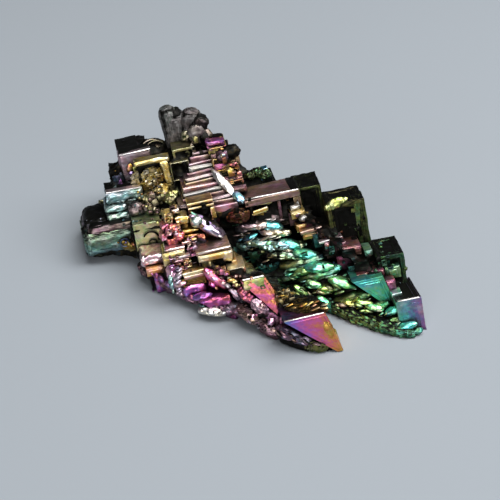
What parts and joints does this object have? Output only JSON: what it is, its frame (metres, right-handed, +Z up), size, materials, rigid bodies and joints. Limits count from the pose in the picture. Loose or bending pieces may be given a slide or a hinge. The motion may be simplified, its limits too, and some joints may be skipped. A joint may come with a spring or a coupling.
{
  "type": "bismuth hopper crystal",
  "caption": "Cluster of stepped, hollow-faced metal crystals grown together, low wedge shape with two arms, resting on its flat cut underside",
  "frame": {"origin": "Middle of the bounding box, on the plane that the cluster rests on", "axes": "+Z up; +X along the longest side, towards the tip of the right arm; +Y away from the low stepped front"},
  "size_m": [0.0408, 0.034, 0.0156],
  "materials": {
    "oxidised_bismuth": "mirror-like bismuth under a thin iridescent oxide, from silver and gold through rose and violet to teal and green"
  },
  "bodies": {
    "root": {"bismuth_crystal": "oxidised_bismuth"}
  },
  "joints": []
}
